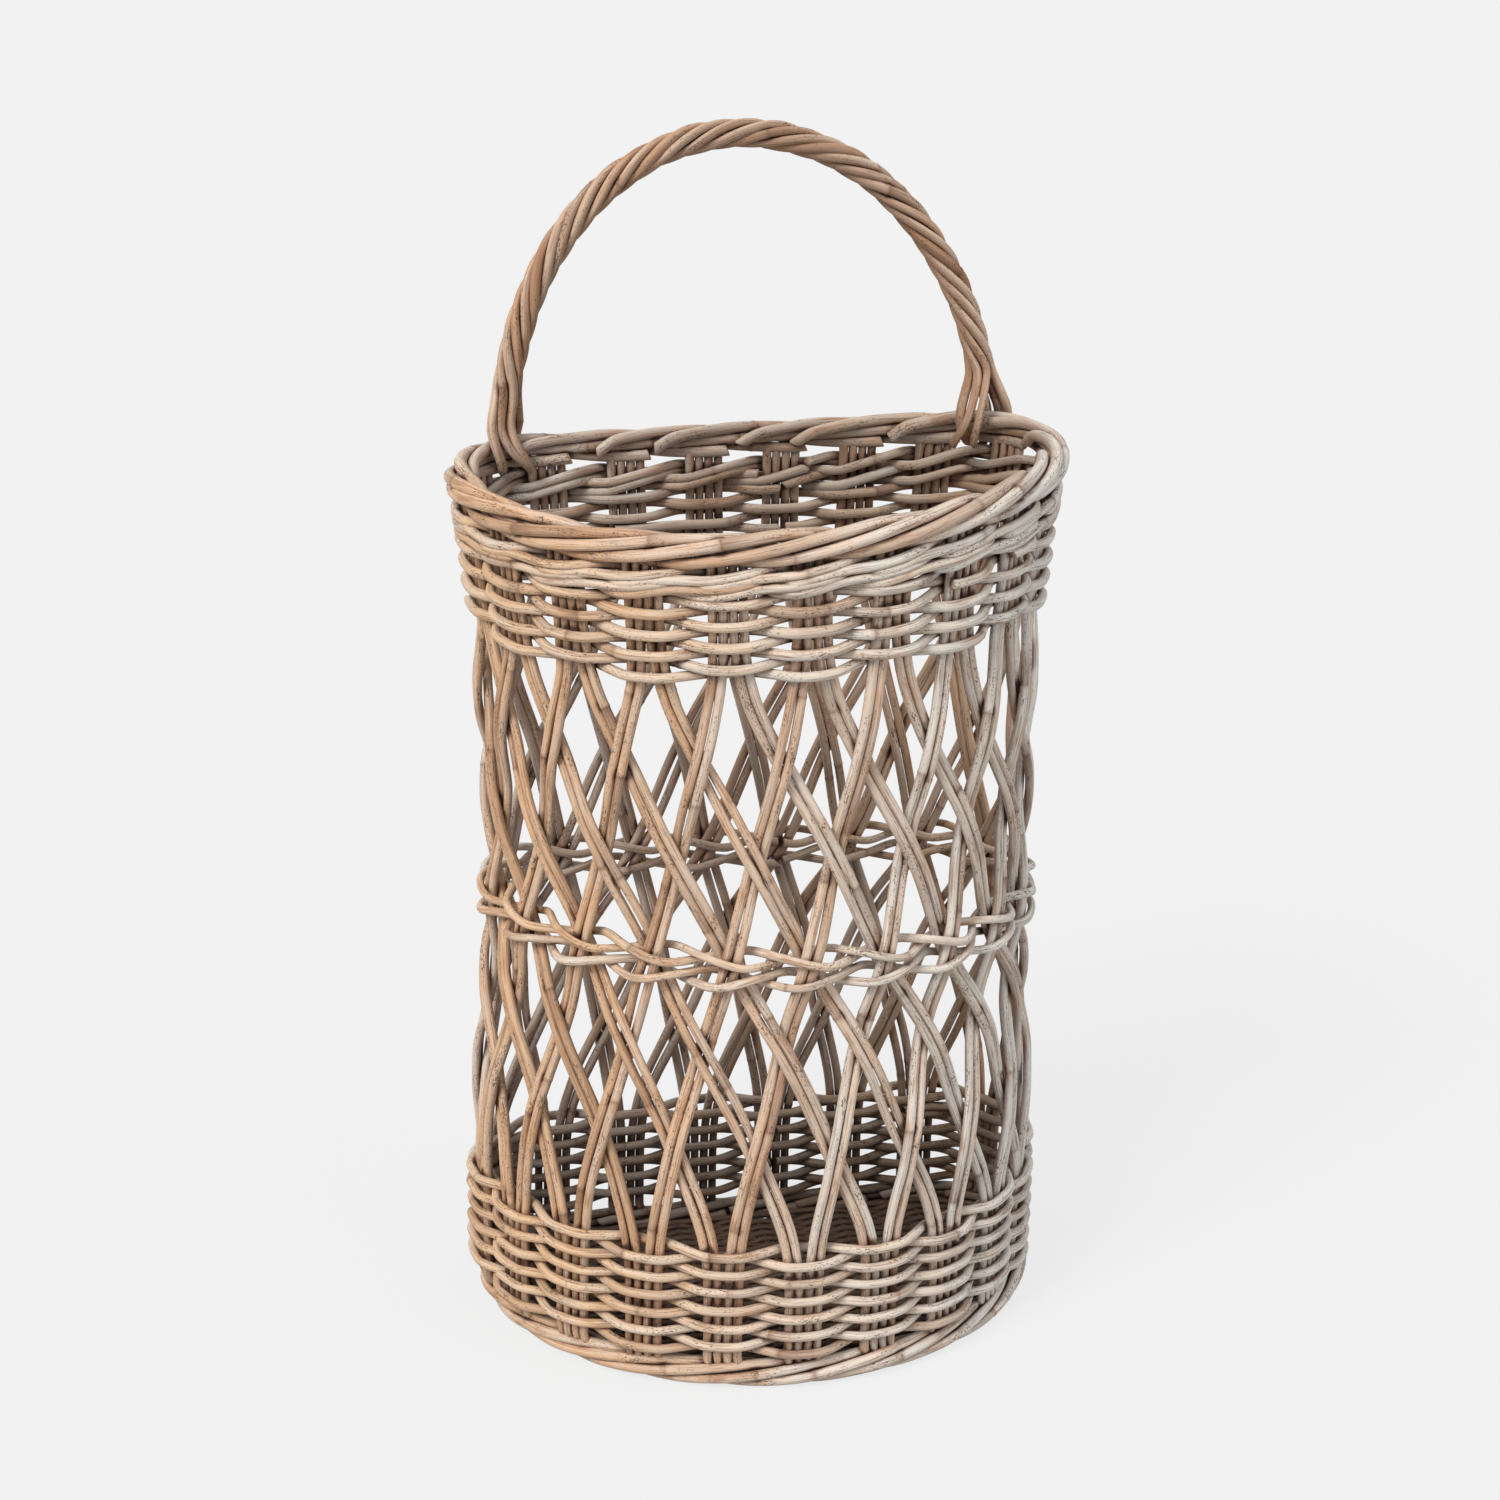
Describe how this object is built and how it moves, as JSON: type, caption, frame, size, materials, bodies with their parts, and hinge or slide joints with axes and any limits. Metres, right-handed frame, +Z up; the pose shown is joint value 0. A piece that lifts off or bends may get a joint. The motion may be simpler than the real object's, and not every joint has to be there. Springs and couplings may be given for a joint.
{
  "type": "hanging wicker basket",
  "caption": "Tall half-round basket of woven rattan cane with an open diamond lattice between solid woven bands, a roped rim and a twisted arch handle at its flat back.",
  "frame": {"origin": "on the underside, below the middle of the bounding box", "axes": "+Z up along the uprights, +Y towards the wall that the flat back hangs against, +X to the right seen from the rounded front"},
  "size_m": [0.3122, 0.1932, 0.6138],
  "materials": {
    "upright_cane": "matt, grey-washed natural cane with the skin on",
    "weaving_cane": "matt, grey-washed natural cane with the skin on",
    "border_cane": "matt, grey-washed natural cane with the skin on",
    "handle_cane": "matt, browner cane, lightly washed",
    "base_cane": "matt, dark woven cane"
  },
  "bodies": {
    "root": {"base_panel": "base_cane", "foot_border_strand_1": "border_cane", "foot_border_strand_2": "border_cane", "foot_border_strand_3": "border_cane", "right_leaning_pair_01": "upright_cane", "left_leaning_pair_01": "upright_cane", "right_leaning_pair_02": "upright_cane", "left_leaning_pair_02": "upright_cane", "right_leaning_pair_03": "upright_cane", "left_leaning_pair_03": "upright_cane", "right_leaning_pair_04": "upright_cane", "left_leaning_pair_04": "upright_cane", "right_leaning_pair_05": "upright_cane", "left_leaning_pair_05": "upright_cane", "right_leaning_pair_06": "upright_cane", "left_leaning_pair_06": "upright_cane", "right_leaning_pair_07": "upright_cane", "left_leaning_pair_07": "upright_cane", "right_leaning_pair_08": "upright_cane", "left_leaning_pair_08": "upright_cane", "right_leaning_pair_09": "upright_cane", "left_leaning_pair_09": "upright_cane", "right_leaning_pair_10": "upright_cane", "left_leaning_pair_10": "upright_cane", "right_leaning_pair_11": "upright_cane", "left_leaning_pair_11": "upright_cane", "right_leaning_pair_12": "upright_cane", "left_leaning_pair_12": "upright_cane", "right_leaning_pair_13": "upright_cane", "left_leaning_pair_13": "upright_cane", "right_leaning_pair_14": "upright_cane", "left_leaning_pair_14": "upright_cane", "right_leaning_pair_15": "upright_cane", "left_leaning_pair_15": "upright_cane", "right_leaning_pair_16": "upright_cane", "left_leaning_pair_16": "upright_cane", "right_leaning_pair_17": "upright_cane", "left_leaning_pair_17": "upright_cane", "right_leaning_pair_18": "upright_cane", "left_leaning_pair_18": "upright_cane", "right_leaning_pair_19": "upright_cane", "left_leaning_pair_19": "upright_cane", "low_band_weaver_1": "weaving_cane", "low_band_weaver_2": "weaving_cane", "low_band_weaver_3": "weaving_cane", "waist_band_rod_1": "weaving_cane", "waist_band_rod_2": "weaving_cane", "waist_band_rod_3": "weaving_cane", "waist_band_rod_4": "weaving_cane", "top_band_weaver_1": "weaving_cane", "top_band_weaver_2": "weaving_cane", "top_wale_rod_1": "weaving_cane", "top_wale_rod_2": "weaving_cane", "rim_border_strand_1": "border_cane", "rim_border_strand_2": "border_cane", "rim_border_strand_3": "border_cane", "handle_bow": "handle_cane", "handle_strand_1": "handle_cane", "handle_strand_2": "handle_cane", "handle_strand_3": "handle_cane"}
  },
  "joints": []
}
